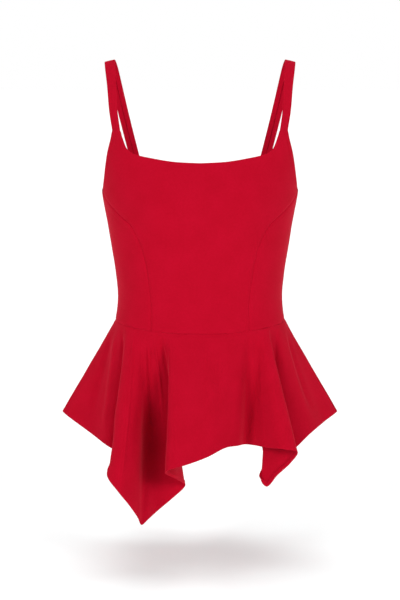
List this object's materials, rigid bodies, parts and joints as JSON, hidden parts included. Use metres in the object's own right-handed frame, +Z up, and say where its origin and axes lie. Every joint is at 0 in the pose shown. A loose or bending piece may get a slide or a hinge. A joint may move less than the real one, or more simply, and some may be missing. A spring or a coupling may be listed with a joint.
{
  "type": "peplum camisole blouse",
  "caption": "Sleeveless fitted blouse with shoulder straps, princess seams and a flared peplum whose square-cut hem hangs in points.",
  "frame": {"origin": "midway between the tops of the two shoulder straps, where the wearer's shoulders hold the blouse up", "axes": "+Z up, the front of the blouse towards -Y, +X towards the wearer's left"},
  "size_m": [0.4152, 0.3187, 0.6721],
  "materials": {
    "crepe": "matte crimson crepe with a soft bloom at grazing angles"
  },
  "bodies": {
    "root": {"bodice_front": "crepe", "side_front_left": "crepe", "side_front_right": "crepe", "side_back_left": "crepe", "side_back_right": "crepe", "bodice_back": "crepe", "strap_left": "crepe", "strap_right": "crepe", "peplum_front": "crepe", "peplum_back": "crepe"}
  },
  "joints": []
}
